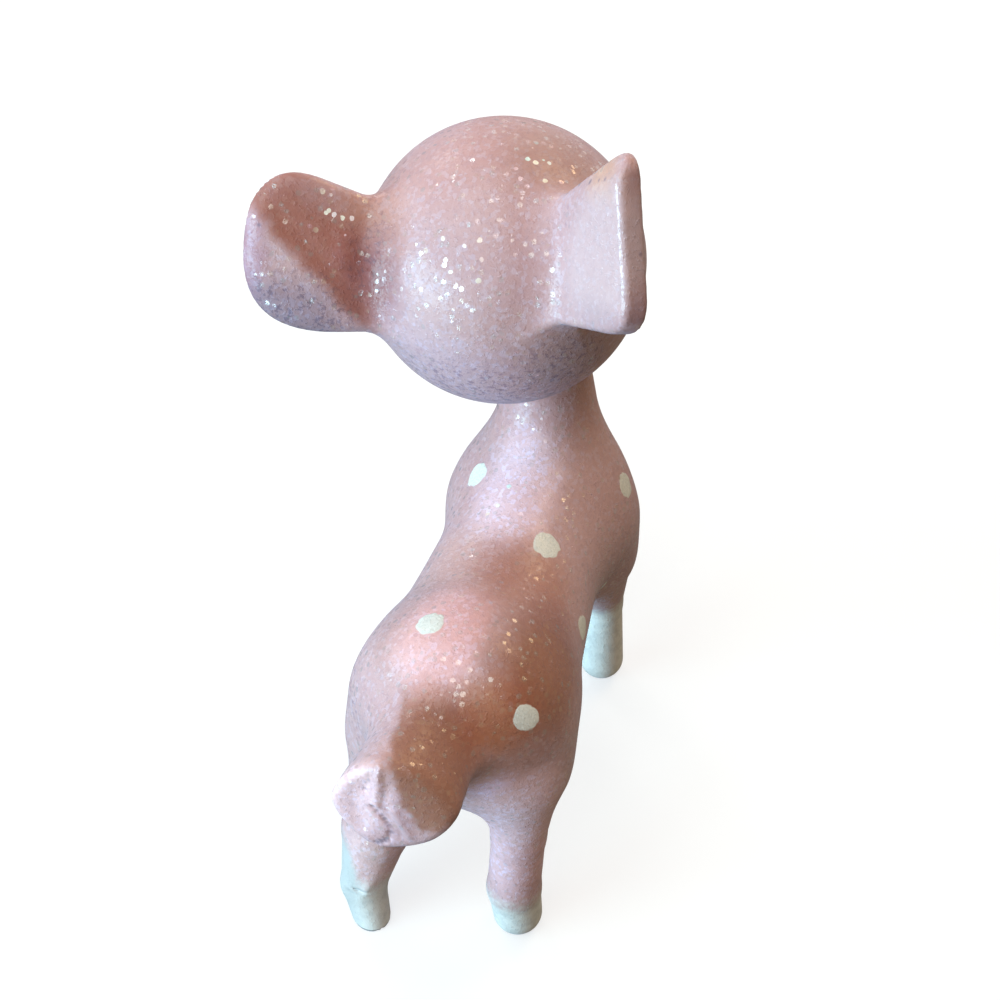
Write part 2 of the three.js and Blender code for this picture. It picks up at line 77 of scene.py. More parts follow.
def turn(axis, degrees):
    c, s = np.cos(np.radians(degrees)), np.sin(np.radians(degrees))
    i, j = [(1, 2), (2, 0), (0, 1)][axis]
    m = np.eye(3)
    m[i, i], m[i, j], m[j, i], m[j, j] = c, -s, s, c
    return m


HEAD_TURN = turn(2, 3) @ turn(0, -5) @ turn(1, 16)

# Distance fields


def smin(a, b, k):
    """The smaller of two fields, which run together where they differ by less than k."""
    h = np.maximum(k - np.abs(a - b), 0) / k
    return np.minimum(a, b) - h * h * k / 4


def smax(a, b, k):
    return -smin(-a, -b, k)


def smoothstep(low, high, x):
    t = np.clip((x - low) / (high - low), 0, 1)
    return t * t * (3 - 2 * t)


def ellipsoid(p, centre, size):
    """About the distance to an ellipsoid."""
    q = (p - centre) / size
    near = np.linalg.norm(q, axis=1)
    slope = np.linalg.norm(q / size, axis=1)
    return near * (near - 1) / np.maximum(slope, 1e-9)


def cone(p, a, b, ra, rb):
    """The distance to a cone with round ends."""
    a, b = np.asarray(a, float), np.asarray(b, float)
    ba = b - a
    l2, taper = ba @ ba, ra - rb
    slant2 = l2 - taper * taper
    q = p - a
    y = q @ ba
    z = y - l2
    x2 = ((q * l2 - ba * y[:, None]) ** 2).sum(1)
    y2, z2 = y * y * l2, z * z * l2
    side = np.sign(taper) * taper * taper * x2
    flank = (np.sqrt(x2 * slant2 / l2) + y * taper) / l2 - ra
    d = np.where(np.sign(y) * slant2 * y2 < side, np.sqrt(x2 + y2) / l2 - ra, flank)
    return np.where(np.sign(z) * slant2 * z2 > side, np.sqrt(x2 + z2) / l2 - rb, d)


def groove(p, path, depth, reach):
    """A soft groove along a line through points, or a ridge where the depth is negative."""
    near = np.full(len(p), 1e9)
    for a, b in zip(path[:-1], path[1:]):
        a, b = np.asarray(a, float), np.asarray(b, float)
        t = np.clip((p - a) @ (b - a) / ((b - a) @ (b - a)), 0, 1)
        near = np.minimum(near, np.linalg.norm(p - a - t[:, None] * (b - a), axis=1))
    return depth * np.exp(-((near / reach) ** 2))


# The stations of each leg, from the hip down: place and radius
LEGS = {
    "hind_right": [(-11.4, 34, 40, 6.8), (-12, 36.2, 24.8, 4.7), (-12.2, 38.1, 11.2, 4.7), (-13.2, 38.4, 4, 4.4)],
    "hind_left": [(11.4, 34, 40, 6.8), (13.1, 38.5, 19.2, 6), (14.3, 42.8, 7.2, 4), (11.8, 45.5, -0.5, 3.3)],
    "front_right": [(-9, -20, 36, 8), (-12, -24, 19.1, 3.5), (-13, -22, 4, 4.3)],
    "front_left": [(9, -20, 36, 8), (12, -24, 19.1, 3.5), (13, -22, 4, 4.3)],
}

# The left hind leg is pinched to a ridge along its back, and its hoof is cut to two faces below the fetlock
LEG_RIDGE = [(10.4, 42.2, 23.0), (10.3, 42.7, 19.2), (11.5, 43.8, 14.3), (12.6, 46.3, 9.7)]
HOOF_EDGE = np.array([11.1, 48.7, 5.0])
HOOF_RIGHT = unit([-0.667, 0.644, 0.38])
HOOF_LEFT = unit([0.317, 0.923, 0.22])
FETLOCK = [(15.9, 45.2, 9.6), (14.2, 46.3, 9.4), (12.6, 46.7, 9.6), (10.9, 46.0, 9.9), (9.6, 44.4, 10.3)]


def leg(p, name):
    stations = LEGS[name]
    d = None
    for a, b in zip(stations[:-1], stations[1:]):
        shank = cone(p, a[:3], b[:3], a[3], b[3])
        d = shank if d is None else smin(d, shank, 1)
    if name == "hind_left":
        near = (np.abs(d) < 3) & (p[:, 2] < 26)
        q, z = p[near], p[near, 2]
        ridge = groove(q, LEG_RIDGE, -0.55, 0.9) * smoothstep(24, 19, z)
        carved = d[near] + ridge + groove(q, FETLOCK, 0.45, 0.45)
        faces = np.maximum((q - HOOF_EDGE) @ HOOF_RIGHT, (q - HOOF_EDGE) @ HOOF_LEFT)
        d[near] = smax(carved, faces - 4 * smoothstep(8.5, 12, z), 0.35)
    return d


TAIL_ROOT = np.array([2, 40.5, 54.9])
TAIL_END = np.array([5.3, 59.6, 57.8])
TAIL_LINE = unit(TAIL_END - TAIL_ROOT)
TAIL_LEVEL = unit(np.cross(TAIL_LINE, [0, 0, 1]))
TAIL_ABOVE = np.cross(TAIL_LEVEL, TAIL_LINE)
TAIL_ROLL = np.radians(4)
TAIL_SIDE = TAIL_LEVEL * np.cos(TAIL_ROLL) - TAIL_ABOVE * np.sin(TAIL_ROLL)
TAIL_UP = TAIL_LEVEL * np.sin(TAIL_ROLL) + TAIL_ABOVE * np.cos(TAIL_ROLL)
TAIL_FACE = unit([-0.02, 1, 0.16])
TAIL_SLANT = unit([-0.457, 0.699, 0.551])
TAIL_RIDGE = TAIL_END + np.array([0.7, -1.5, 9.5])
TAIL_SEAT = TAIL_ROOT + TAIL_LINE * 6
TAIL_ROOT_SIZE, TAIL_LEFT, TAIL_RIGHT, TAIL_HEIGHT = 8.6, 13.4, 7.6, 9

# Cracks in the tail's end, and its hollows and ridges with depth and reach
CRACKS = [
    [(5.8, 58.4, 65.9), (6.7, 58.8, 63.5), (7.4, 59.0, 62.1), (7.2, 59.1, 61.1)],
    [(5.7, 59.6, 58.3), (4.2, 59.8, 56.8), (3.2, 60.0, 55.4), (2.5, 60.1, 54.5), (2.7, 60.4, 52.4)],
    [(4.6, 60.8, 50.4), (3.4, 60.6, 51.3), (2.8, 60.5, 52.4)],
]
HOLLOWS = [
    ([(4.1, 58.4, 65.6), (3.8, 58.8, 62.7), (4.0, 59.3, 59.8), (2.6, 59.8, 56.5), (1.1, 60.3, 53.5)], 0.3, 1.1),
    ([(7.8, 58.7, 63.9), (8.5, 59.5, 58.9), (7.5, 60.3, 53.7)], 0.35, 1.6),
    ([(5.2, 58.2, 66.7), (4.8, 58.8, 62.8), (5.1, 59.4, 59.0)], -0.35, 0.8),
    ([(2.2, 59.5, 58.2), (0.8, 59.9, 55.8), (-0.4, 60.1, 54.0)], -0.4, 0.8),
]


def tail(p):
    q = p - TAIL_ROOT
    along, across, above = q @ TAIL_LINE, q @ TAIL_SIDE, q @ TAIL_UP
    share = np.clip(along / np.linalg.norm(TAIL_END - TAIL_ROOT), 0, 1.2)
    width = TAIL_ROOT_SIZE + (np.where(across > 0, TAIL_RIGHT, TAIL_LEFT) - TAIL_ROOT_SIZE) * share
    height = TAIL_ROOT_SIZE + (TAIL_HEIGHT - TAIL_ROOT_SIZE) * share
    power = 1.5  # between a diamond and an ellipse
    outline = (np.hypot(across, 0.8) / width) ** power + (np.hypot(above, 0.8) / height) ** power
    section = (outline ** (1 / power) - 1) * 0.45 * (width + height)
    past_end = smax((p - TAIL_END) @ TAIL_FACE, (p - TAIL_RIDGE) @ TAIL_SLANT, 2.6)
    d = smax(smax(section, past_end, 1.7), -along, 3)
    near = (p - TAIL_END) @ TAIL_FACE > -3
    for path, depth, reach in [(path, 0.75, 0.42) for path in CRACKS] + HOLLOWS:
        d[near] += groove(p[near], path, depth, reach)
    return d


def trunk(p):
    middle = cone(p, (0, 22, SPINE_HEIGHT), (0, -12, SPINE_HEIGHT), LOIN_RADIUS, WAIST_RADIUS)
    back = smin(ellipsoid(p, RUMP, RUMP_SIZE), middle, 13)
    chest = smin(back, ellipsoid(p, CHEST, CHEST_SIZE), 12)
    d = smin(chest, cone(p, NECK_ROOT, NECK_TOP, NECK_ROOT_RADIUS, NECK_TOP_RADIUS), 8)
    # Relief of the back: raised withers and the dip behind them
    x, y, z = p.T
    withers = 1.7 * np.exp(-(((x - 1) / 9) ** 2) - ((y + 6) / 8) ** 2)
    saddle = np.exp(-((x / 11) ** 2) - ((y - 11) / 6) ** 2)
    return d - (withers - saddle) * smoothstep(50, 56, z)


def body(p):
    d = trunk(p)
    for name in LEGS:
        d = smin(d, leg(p, name), 7)
    d = smin(d, tail(p), 6)
    # Soles, a little rounded at the rim
    return np.maximum(smax(d, -p[:, 2], 1), 0.25 - p[:, 2])


# The left ear and the right: angles, the outline's corners, how round its corners and edge are, and its fold
EARS = {
    1: dict(
        spread=42, rise=49.2, over=0.17, length=24.9, top=7.4, foot=12.7,
        tip=14.6, tip_out=0.5, lobe=13.2, lobe_out=-0.15,
        lower_round=15, upper_round=11, edge=2.6, fold=0.62, fold_foot=-11.1, fold_tip=15.4,
    ),
    -1: dict(
        spread=44.3, rise=47.2, over=-0.05, length=24.2, top=6.7, foot=10.7,
        tip=14.3, tip_out=1.2, lobe=14.5, lobe_out=-1.1,
        lower_round=6.5, upper_round=4.7, edge=1.1, fold=0.2, fold_foot=-12.5, fold_tip=16.3,
    ),
}

EAR_DISH = 2.0
PINCH_DEPTH = 1.1
PINCH_START, PINCH_END = (24.0, 5.1), (8.7, -10.2)  # the line where the left ear's back is pinched
DOWEL_TIP = 10  # how far the dowel in an ear's root reaches


def ear_frame(side):
    """An ear's own directions: out of the head, up, and over towards its inner face."""
    spread, rise = np.radians(EARS[side]["spread"]), np.radians(EARS[side]["rise"])
    behind = np.array([0, np.cos(rise), np.sin(rise)])
    out = np.array([side * np.sin(spread), 0, 0]) + behind * np.cos(spread)
    up = np.array([0, -np.sin(rise), np.cos(rise)])
    return out, up, side * np.cross(out, up)


def right_of(a, b, start, end):
    """How far a point of an ear's plane lies to the right of a line."""
    along, up = end[0] - start[0], end[1] - start[1]
    return ((a - start[0]) * up - (b - start[1]) * along) / np.hypot(along, up)


def ear_parts(q, side):
    """An ear's outline, negative inside, the height over its middle layer, and the place in its plane."""
    e = EARS[side]
    out, up, over = ear_frame(side)
    a, b, c = q @ out - HEAD_RADIUS + 5, q @ up, q @ over
    tip, lobe = (e["length"] + e["tip_out"], e["tip"]), (e["length"] + e["lobe_out"], -e["lobe"])
    lower = smax(right_of(a, b, (0, -e["foot"]), lobe), right_of(a, b, lobe, tip), e["lower_round"])
    rim = smax(lower, right_of(a, b, tip, (0, e["top"])), e["upper_round"])
    past = right_of(a, b, (2, e["fold_foot"]), (e["length"], e["fold_tip"]))
    bend = e["fold"] * (np.hypot(past, 2.5) + past) / 2
    return smax(rim, -a - 3, 2), c + e["over"] - bend, a, b


def ear(q, side):
    e = EARS[side]
    rim, over, out, up = ear_parts(q, side)
    # The hollows are shallower over the dowel, so that it stays covered
    over_dowel = (1 - smoothstep(1.4, 3.6, np.abs(up))) * (1 - smoothstep(DOWEL_TIP, DOWEL_TIP + 3, out))
    dish = EAR_DISH * smoothstep(1.6, 6, -rim) * (1 - 0.75 * over_dowel)
    plate = np.abs(over + dish / 2) - (EAR_THICK - dish) / 2
    if side > 0:
        past = right_of(out, up, PINCH_START, PINCH_END)
        pinch = smoothstep(-1.2, 3.2, past) * (1 - smoothstep(5, 12, past)) * (PINCH_DEPTH - 0.45 * over_dowel)
        plate = smax(plate, pinch - over - EAR_THICK / 2, 0.8)
    else:
        top = right_of(out, up, (e["length"] + e["tip_out"], e["tip"]), (0, e["top"]))
        bevel = 0.5 * (top + 0.5 + 4.2 * out / e["length"]) + 0.87 * (-over - EAR_THICK / 2)
        plate = smax(plate, bevel, 0.6)
    return 0.7 * smax(rim, plate, e["edge"])


def head_ball(q):
    muzzle = cone(q, MUZZLE_ROOT, MUZZLE_TIP, MUZZLE_ROOT_RADIUS, MUZZLE_TIP_RADIUS)
    return smin(np.linalg.norm(q, axis=1) - HEAD_RADIUS, muzzle, 8)


def skin_along(direction):
    """How far the head's skin is from its centre in a direction."""
    inside, outside = 0.0, 3 * HEAD_RADIUS
    for _ in range(40):
        tried = (inside + outside) / 2
        if head_ball(direction[None] * tried)[0] < 0:
            inside = tried
        else:
            outside = tried
    return inside


def eye_line(side):
    a, d = np.radians(40), np.radians(3)
    return np.array([side * np.sin(a) * np.cos(d), -np.cos(a) * np.cos(d), -np.sin(d)])


EYES = {side: eye_line(side) * (skin_along(eye_line(side)) + EYE_OUT - EYE_RADIUS) for side in (1, -1)}
NOSE_LINE = unit(MUZZLE_TIP + [0, -MUZZLE_TIP_RADIUS, 3])
NOSE = NOSE_LINE * (skin_along(NOSE_LINE) - 0.3 * NOSE_SIZE[1])
MOUTH = [(-4.6, -27.6, -13.4), (-2.4, -29.6, -14.3), (0, -30.6, -13.2), (2.4, -29.6, -14.3), (4.6, -27.6, -13.4)]


def head(q):
    d = head_ball(q)
    for side in (1, -1):
        d = smin(d, ear(q, side), 4)
        line = eye_line(side)
        off = q - EYES[side]
        out = off @ line
        from_line = np.linalg.norm(off - out[:, None] * line, axis=1)
        lid = np.hypot(from_line - EYE_RADIUS - 0.1, out - 1.1) - 0.75
        d = smin(d, lid, 1.2)
    return d + groove(q, MOUTH, 0.5, 0.55)


def whole(p):
    d = body(p)
    near = p[:, 2] > HEAD_ABOVE
    if near.any():
        q = (p[near] - HEAD) @ HEAD_TURN
        d[near] = smin(d[near], head(q), 1.5)
    return d


# Meshing


def grid_values(field, low, shape, cell, block=8):
    """The field at every point of a grid, worked out only in the blocks that the surface passes near."""
    count = -(-np.array(shape) // block)
    span = block * cell
    at = np.stack(np.meshgrid(*[np.arange(n) for n in count], indexing="ij"), -1).reshape(-1, 3)
    middle = field(low + (at + 0.5) * span - cell / 2)
    values = np.repeat(np.where(middle < 0, -1.0, 1.0)[:, None], block ** 3, 1)
    live = np.flatnonzero(np.abs(middle) < span * 1.5)
    inner = np.stack(np.meshgrid(*[np.arange(block)] * 3, indexing="ij"), -1).reshape(-1, 3)
    for part in np.array_split(live, max(1, len(live) // 400)):
        points = low + (at[part][:, None] * block + inner[None]) * cell
        values[part] = field(points.reshape(-1, 3)).reshape(len(part), -1)
    full = values.reshape(*count, block, block, block).transpose(0, 3, 1, 4, 2, 5)
    return full.reshape(*(count * block))


def gradient(field, points, step=0.05):
    slope = np.empty_like(points)
    for axis in range(3):
        move = np.zeros(3)
        move[axis] = step
        slope[:, axis] = (field(points + move) - field(points - move)) / (2 * step)
    return slope


def surface(field, low, high, cell):
    """Points, quads and normals of the field's zero surface, with one point in each cell that it crosses."""
    low = np.asarray(low, float)
    value = grid_values(field, low, np.ceil((np.asarray(high) - low) / cell).astype(int) + 1, cell)
    inside = value < 0
    shape = np.array(value.shape)
    stride = np.array([shape[1] * shape[2], shape[2], 1])
    flat = value.ravel()
    cells, places, rings = [], [], []
    for axis in range(3):
        lower = [slice(1, -1)] * 3
        upper = [slice(1, -1)] * 3
        upper[axis] = slice(2, None)
        edge = np.argwhere(inside[tuple(lower)] != inside[tuple(upper)]) + 1
        index = edge @ stride
        here = flat[index]
        share = here / (here - flat[index + stride[axis]])
        place = edge.astype(float)
        place[:, axis] += share
        u, v = (axis + 1) % 3, (axis + 2) % 3
        steps = ((1, 1), (0, 1), (0, 0), (1, 0))
        ring = np.stack([index - du * stride[u] - dv * stride[v] for du, dv in steps], 1)
        ring[here >= 0] = ring[here >= 0][:, ::-1]
        cells.append(ring.ravel())
        places.append(np.repeat(place, 4, 0))
        rings.append(ring)
    used, which, count = np.unique(np.concatenate(cells), return_inverse=True, return_counts=True)
    places = np.concatenate(places)
    points = np.stack([np.bincount(which, places[:, a], len(used)) / count for a in range(3)], 1) * cell + low
    quads = which.reshape(-1, 4)
    for _ in range(3):
        slope = gradient(field, points)
        move = -field(points)[:, None] * slope / np.maximum((slope ** 2).sum(1), 0.25)[:, None]
        size = np.linalg.norm(move, axis=1)[:, None]
        points = points + move * np.minimum(1, cell / np.maximum(size, 1e-9))
    slope = gradient(field, points)
    return points, quads, slope / np.linalg.norm(slope, axis=1)[:, None]


def capped(quads, points, normals, towards, depth=0.6):
    """Closes each open rim of a piece with a fan to a point inside it."""
    sides = np.concatenate([quads[:, [i, (i + 1) % 4]] for i in range(4)])
    _, which, count = np.unique(np.sort(sides, 1), axis=0, return_inverse=True, return_counts=True)
    rim = sides[count[which.ravel()] == 1]
    after = {}
    for a, b in rim:
        after.setdefault(int(a), []).append(int(b))
    triangles, extra, extra_normals = [], [], []
    while after:
        start = next(iter(after))
        loop, here = [start], start
        while True:
            nexts = after[here]
            there = nexts.pop()
            if not nexts:
                del after[here]
            if there == start or there not in after:
                break
            loop.append(there)
            here = there
        if len(loop) < 3:
            continue
        middle = points[loop].mean(0)
        inward = unit(towards - middle)
        apex = len(points) + len(extra)
        extra.append(middle + inward * depth)
        extra_normals.append(-inward)
        triangles += [(b, a, apex) for a, b in zip(loop, loop[1:] + loop[:1])]
    if extra:
        points = np.concatenate([points, extra])
        normals = np.concatenate([normals, extra_normals])
    return points, normals, np.array(triangles, int).reshape(-1, 3)


def make_piece(name, points, quads, triangles, normals, material):
    """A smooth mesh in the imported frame."""
    mesh = bpy.data.meshes.new(name)
    mesh.vertices.add(len(points))
    mesh.vertices.foreach_set("co", to_frame(points).astype(np.float32).ravel())
    corners = np.concatenate([quads.ravel(), triangles.ravel()])
    starts = np.concatenate([np.arange(len(quads)) * 4, len(quads) * 4 + np.arange(len(triangles)) * 3])
    mesh.loops.add(len(corners))
    mesh.loops.foreach_set("vertex_index", corners.astype(np.int32))
    mesh.polygons.add(len(starts))
    mesh.polygons.foreach_set("loop_start", starts.astype(np.int32))
    mesh.update(calc_edges=True)
    mesh.polygons.foreach_set("use_smooth", np.ones(len(starts), bool))
    mesh.normals_split_custom_set_from_vertices(normals.tolist())
    mesh.update()
    piece = bpy.data.objects.new(name, mesh)
    bpy.context.scene.collection.objects.link(piece)
    mesh.materials.append(material)
    return piece


def to_frame(points):
    return (points + OFFSET) / 1000


eye_low, eye_high = (np.array(v) * 1000 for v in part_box("left_eye"))
OFFSET = (eye_low + eye_high) / 2 - (HEAD_TURN @ EYES[1] + HEAD)

# Materials


class Nodes:
    """A short way to write a node tree: each call adds a node and gives back its output."""

    def __init__(self, name):
        self.material = bpy.data.materials.new(name)
        self.material.use_nodes = True
        self.tree = self.material.node_tree
        self.shader = self.tree.nodes["Principled BSDF"]

    def add(self, kind, inputs=(), out=0, **settings):
        node = self.tree.nodes.new("ShaderNode" + kind)
        for key, value in settings.items():
            setattr(node, key, value)
        for key, value in dict(inputs).items():
            self.put(node.inputs[key], value)
        return node.outputs[out]

    def put(self, socket, value):
        if isinstance(value, bpy.types.NodeSocket):
            self.tree.links.new(value, socket)
        else:
            socket.default_value = value

    def math(self, operation, *values, clamp=False):
        return self.add("Math", enumerate(values), operation=operation, use_clamp=clamp)

    def vector(self, operation, *values, out=0):
        return self.add("VectorMath", enumerate(values), operation=operation, out=out)

    def scale(self, vector, factor):
        scaled = self.vector("SCALE", vector)
        self.put(scaled.node.inputs["Scale"], factor)
        return scaled

    def reaches(self, off, reach):
        """The length of an offset, counted in a reach along x, y and z."""
        return self.vector("LENGTH", self.vector("DIVIDE", off, reach), out="Value")

    def away(self, where, centre, reach):
        return self.reaches(self.vector("SUBTRACT", where, centre), reach)

    def within(self, where, centre, radius):
        """How far a place is inside a ball."""
        return self.math("SUBTRACT", radius, self.vector("DISTANCE", where, centre, out="Value"))

    def most(self, values):
        return functools.reduce(lambda one, other: self.math("MAXIMUM", one, other), values)

    def inverse(self, share):
        return self.math("SUBTRACT", 1.0, share)

    def ramp(self, value, low, high, to_low=0.0, to_high=1.0):
        return self.add(
            "MapRange",
            {"Value": value, "From Min": low, "From Max": high, "To Min": to_low, "To Max": to_high},
            interpolation_type="SMOOTHSTEP",
        )

    def mix(self, share, one, other, blend="MIX"):
        node = self.tree.nodes.new("ShaderNodeMix")
        node.data_type = "RGBA"
        node.blend_type = blend
        for socket, value in ((0, share), (6, one), (7, other)):
            self.put(node.inputs[socket], value)
        return node.outputs[2]

    def noise(self, where, scale, detail=2.0, rough=0.5, out=0, distort=0.0):
        inputs = {"Vector": where, "Scale": scale, "Detail": detail, "Roughness": rough, "Distortion": distort}
        return self.add("TexNoise", inputs, out=out)

    def voronoi(self, where, scale):
        """Cells with a colour each, and the distance from their middles."""
        cells = self.tree.nodes.new("ShaderNodeTexVoronoi")
        self.put(cells.inputs["Vector"], where)
        cells.inputs["Scale"].default_value = scale
        parts = self.tree.nodes.new("ShaderNodeSeparateColor")
        self.put(parts.inputs[0], cells.outputs["Color"])
        red, green, blue = parts.outputs
        colour = cells.outputs["Color"]
        return {"away": cells.outputs["Distance"], "colour": colour, "red": red, "green": green, "blue": blue}

    def lean(self, chance, where, size):
        """A tilt for the normal, another one in each cell."""
        way = self.vector("SUBTRACT", chance, (0.5, 0.5, 0.5))
        return self.scale(self.vector("MULTIPLY", way, (size, size, size)), where)

    def finish(self, **sockets):
        for name, value in sockets.items():
            self.put(self.shader.inputs[name.replace("_", " ")], value)
        return self.material


def rgb(red, green, blue):
    """A colour given as 8-bit display values."""
    v = np.array([red, green, blue]) / 255
    linear = np.where(v <= 0.04045, v / 12.92, ((v + 0.055) / 1.055) ** 2.4)
    return (*linear.tolist(), 1.0)


# The white dots, with their radii
SPOTS = [
    ((10.3, -9.9, 61.1), 2.3),
    ((-6.1, 3.6, 62.7), 2.5),
    ((6.1, 29.8, 67.8), 2.35),
    ((-12.5, 38.3, 61.2), 2.2),
    ((-14.6, -19.1, 57.5), 2.2),
    ((-15.3, 11.4, 53.3), 2.1),
    ((15.6, 11.4, 46.9), 2.2),
    ((19.5, 33.0, 40.8), 2.1),
    ((-17.5, 24.8, 41.8), 2.2),
    ((18.8, 25.7, 49.5), 2.2),
    ((17.1, -19.6, 51.7), 2.1),
    ((-13.5, -7.5, 41.5), 2.0),
    ((14.7, -2.9, 49.0), 2.0),
]

# Where dark specks of painted shade show, with their reach
SHADED_SPECKS = [
    ((8, -6, 84), (20, 14, 9)),
    ((40, -3, 96), (11, 8, 7)),
    ((-4, -9, 90), (9, 9, 9)),
    ((30, -20, 98), (6, 12, 12)),
    ((16, 22, 52), (6, 20, 8)),
]

# Patches of painted glints, where the glitter flakes are painted near white and shown strongly, with their reach
GLINT_PATCHES = [
    ((3.5, -3.2, 64.5), 4.5),
    ((5.8, -25.4, 118.1), 5.0),
    ((14.5, -8.6, 109.3), 5.5),
    ((35.7, -13.6, 109.4), 4.5),
]

# Small marks on the ears, with their sizes
MARKS = [
    ((-2.66, -17.5, 122), 0.35),
    ((-4.72, -15.1, 125), 0.45),
    ((-6.29, -13.4, 127), 0.4),
    ((-7.66, -12.5, 128), 0.3),
    ((46.9, -7.71, 109), 0.4),
    ((-15.3, -5.78, 121), 0.4),
]

# Painted light and shade: strokes that darken the paint to brown where shade falls and make it paler and
# more pearly where light falls; the first one only tints the whole body. Each holds a factor on the paint's
# colour, the stroke's start and end, its reach, and the planes that it stops at, each with a point, a direction
# and a softness
PAINTED_LIGHT_AND_SHADE = [
    # the whole body
    dict(tint=(0.85, 0.91, 1.15), start=(0, 0, 60), reach=(900, 900, 900)),
    # left ear, the band across it
    dict(tint=(0.66, 0.34, 0.16), start=(45, -9, 110), end=(33, -8, 100), reach=(9, 9, 9),
        cuts=[((36.4, -6.2, 100.6), (-0.61, -0.53, 0.59), 1.6)]),
    # left ear, root
    dict(tint=(0.95, 0.76, 0.52), start=(30, -12, 106), reach=(7, 9, 9)),
    # left ear, lower half
    dict(tint=(0.58, 0.59, 0.68), start=(42, -3, 95), reach=(11, 8, 7)),
    # left ear, rim
    dict(tint=(0.79, 0.64, 0.72), start=(49, -5, 103), reach=(4, 7, 10)),
    # crown, left side
    dict(tint=(1.04, 0.98, 0.93), start=(24, -28, 114), reach=(14, 14, 8)),
    # nape
    dict(tint=(1.03, 1.09, 1.24), start=(12, -4, 88), reach=(22, 12, 10)),
    # nape, right side
    dict(tint=(0.78, 0.82, 0.85), start=(-6, -10, 92), reach=(8, 10, 8)),
    # right ear
    dict(tint=(0.9, 0.77, 0.73), start=(-9, -7, 119), reach=(8, 9, 12)),
    # shoulders
    dict(tint=(1.51, 1.85, 2.19), start=(1, -5, 65), reach=(9, 12, 9),
        cuts=[((0, 7, 64), (0, -1, 0), 2.4),
              ((-5.5, 0, 63), (1, 0, 0), 2.4)]),
    # back of the neck
    dict(tint=(1.16, 1.07, 1.04), start=(6, -19, 70), reach=(8, 8, 7)),
    # saddle
    dict(tint=(0.86, 0.67, 0.49), start=(-6, 13, 64), reach=(10, 10, 9)),
    # saddle, left side
    dict(tint=(1.05, 1.03, 0.95), start=(10, 11, 61), reach=(8, 8, 8)),
    # rump, middle
    dict(tint=(1.48, 1.46, 1.55), start=(4, 32, 68), reach=(9, 13, 6),
        cuts=[((-3.5, 30, 67), (1, 0, 0), 2)]),
    # rump, right side
    dict(tint=(0.63, 0.4, 0.15), start=(-13, 29, 62), reach=(9, 15, 10),
        cuts=[((0, 0, 50), (0, 0, 1), 3)]),
    # rump, above the tail
    dict(tint=(1.07, 0.78, 0.38), start=(-8, 40, 62), reach=(7, 8, 6)),
    # tail, from its root to its end
    dict(tint=(0.64, 0.42, 0.2), start=(0, 48, 63), end=(0, 60, 58), reach=(11, 9, 10),
        cuts=[((1.57, 58.4, 61.7), (-0.88, -0.25, 0.41), 0.8),
              ((-5.12, 58.9, 56), (0.48, -0.71, 0.52), 0.8)]),
    # right thigh
    dict(tint=(1.46, 1.58, 1.8), start=(-13, 42, 48), end=(-13, 41, 22), reach=(9, 8, 9),
        cuts=[((0, 0, 51), (0, 0, -1), 2.4)]),
    # under the tail
    dict(tint=(1.2, 1.48, 1.88), start=(-7, 45, 50), reach=(5, 5, 5),
        cuts=[((0, 0, 53), (0, 0, -1), 2.0)]),
    # tail's end, left half
    dict(tint=(1.6, 1.8, 1.85), start=(8.5, 59, 58), reach=(6, 4, 9)),
    # tail's end
    dict(tint=(0.95, 0.9, 0.96), start=(6, 60, 56), reach=(9, 4, 11)),
    # right ear, top
    dict(tint=(1.14, 1.02, 0.65), start=(-9, -16, 127), reach=(6, 6, 4)),
    # right ear, rim
    dict(tint=(0.6, 0.48, 0.45), start=(-13, -12.4, 128), end=(-17.1, -1.29, 114), reach=(2.6, 4, 3)),
    # loin
    dict(tint=(0.91, 0.87, 0.82), start=(8, 34, 65), end=(12, 22, 60), reach=(7, 8, 6)),
    # head, beside the left ear
    dict(tint=(0.74, 0.65, 0.75), start=(28, -14, 100), reach=(8, 9, 10)),
    # crown, front
    dict(tint=(0.86, 0.79, 0.69), start=(4, -29, 118), reach=(9, 9, 6)),
    # right ear, low
    dict(tint=(0.8, 0.77, 0.8), start=(-12, -1, 109), reach=(10, 6, 4)),
    # left hind leg
    dict(tint=(1.41, 1.57, 1.63), start=(13, 46, 18), end=(12, 47, 6), reach=(7, 7, 7)),
]


def object_place(n):
    """A place on the object in millimetres."""
    return n.vector("MULTIPLY", n.add("TexCoord", out="Object"), (1000, 1000, 1000))


